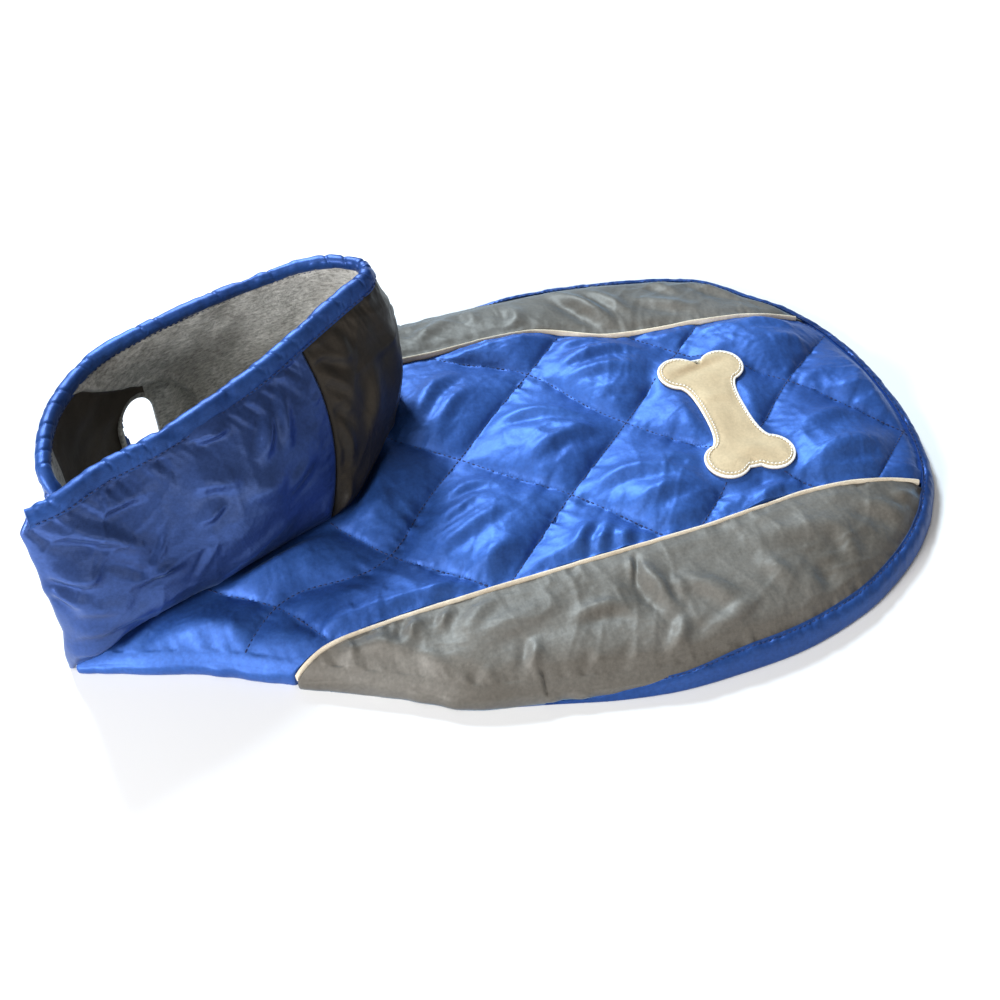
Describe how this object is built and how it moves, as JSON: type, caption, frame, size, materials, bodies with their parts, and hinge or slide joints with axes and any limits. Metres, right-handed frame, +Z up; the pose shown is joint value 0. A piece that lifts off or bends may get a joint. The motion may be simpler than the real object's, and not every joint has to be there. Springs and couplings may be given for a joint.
{
  "type": "dog winter coat",
  "caption": "Padded dog winter coat lying flat: quilted blue back with grey side panels, cream piping, bone applique and a stand-up fleece-lined neck collar",
  "frame": {"origin": "centre of the bounding box at the level of the surface that the coat lies on", "axes": "+X from the neck toward the tail, +Y toward the far side in the picture, +Z up out of the back"},
  "size_m": [0.5782, 0.3662, 0.1411],
  "materials": {
    "quilted_blue": "royal blue polyester taffeta, quilted over wadding, soft satin sheen",
    "side_grey": "warm grey polyester taffeta with a soft sheen and fine creases",
    "piping_cream": "cream cotton-covered piping cord",
    "binding_blue": "royal blue bias tape, folded, satin sheen",
    "applique_cream": "cream cotton twill with a white stitched border",
    "collar_blue": "deep blue polyester taffeta over wadding, unquilted",
    "gusset_olive": "dark olive grey polyester taffeta, gathered into its seams",
    "fleece_grey": "mid grey short-pile fleece"
  },
  "bodies": {
    "root": {"back_panel": "quilted_blue", "side_panel_near": "side_grey", "side_panel_far": "side_grey", "piping_near": "piping_cream", "piping_far": "piping_cream", "edge_binding": "binding_blue", "bone_applique": "applique_cream", "collar_near_flap": "collar_blue", "collar_far_flap": "collar_blue", "collar_gusset": "gusset_olive", "collar_lining": "fleece_grey", "shoulder_lining": "fleece_grey", "collar_binding": "binding_blue"}
  },
  "joints": []
}
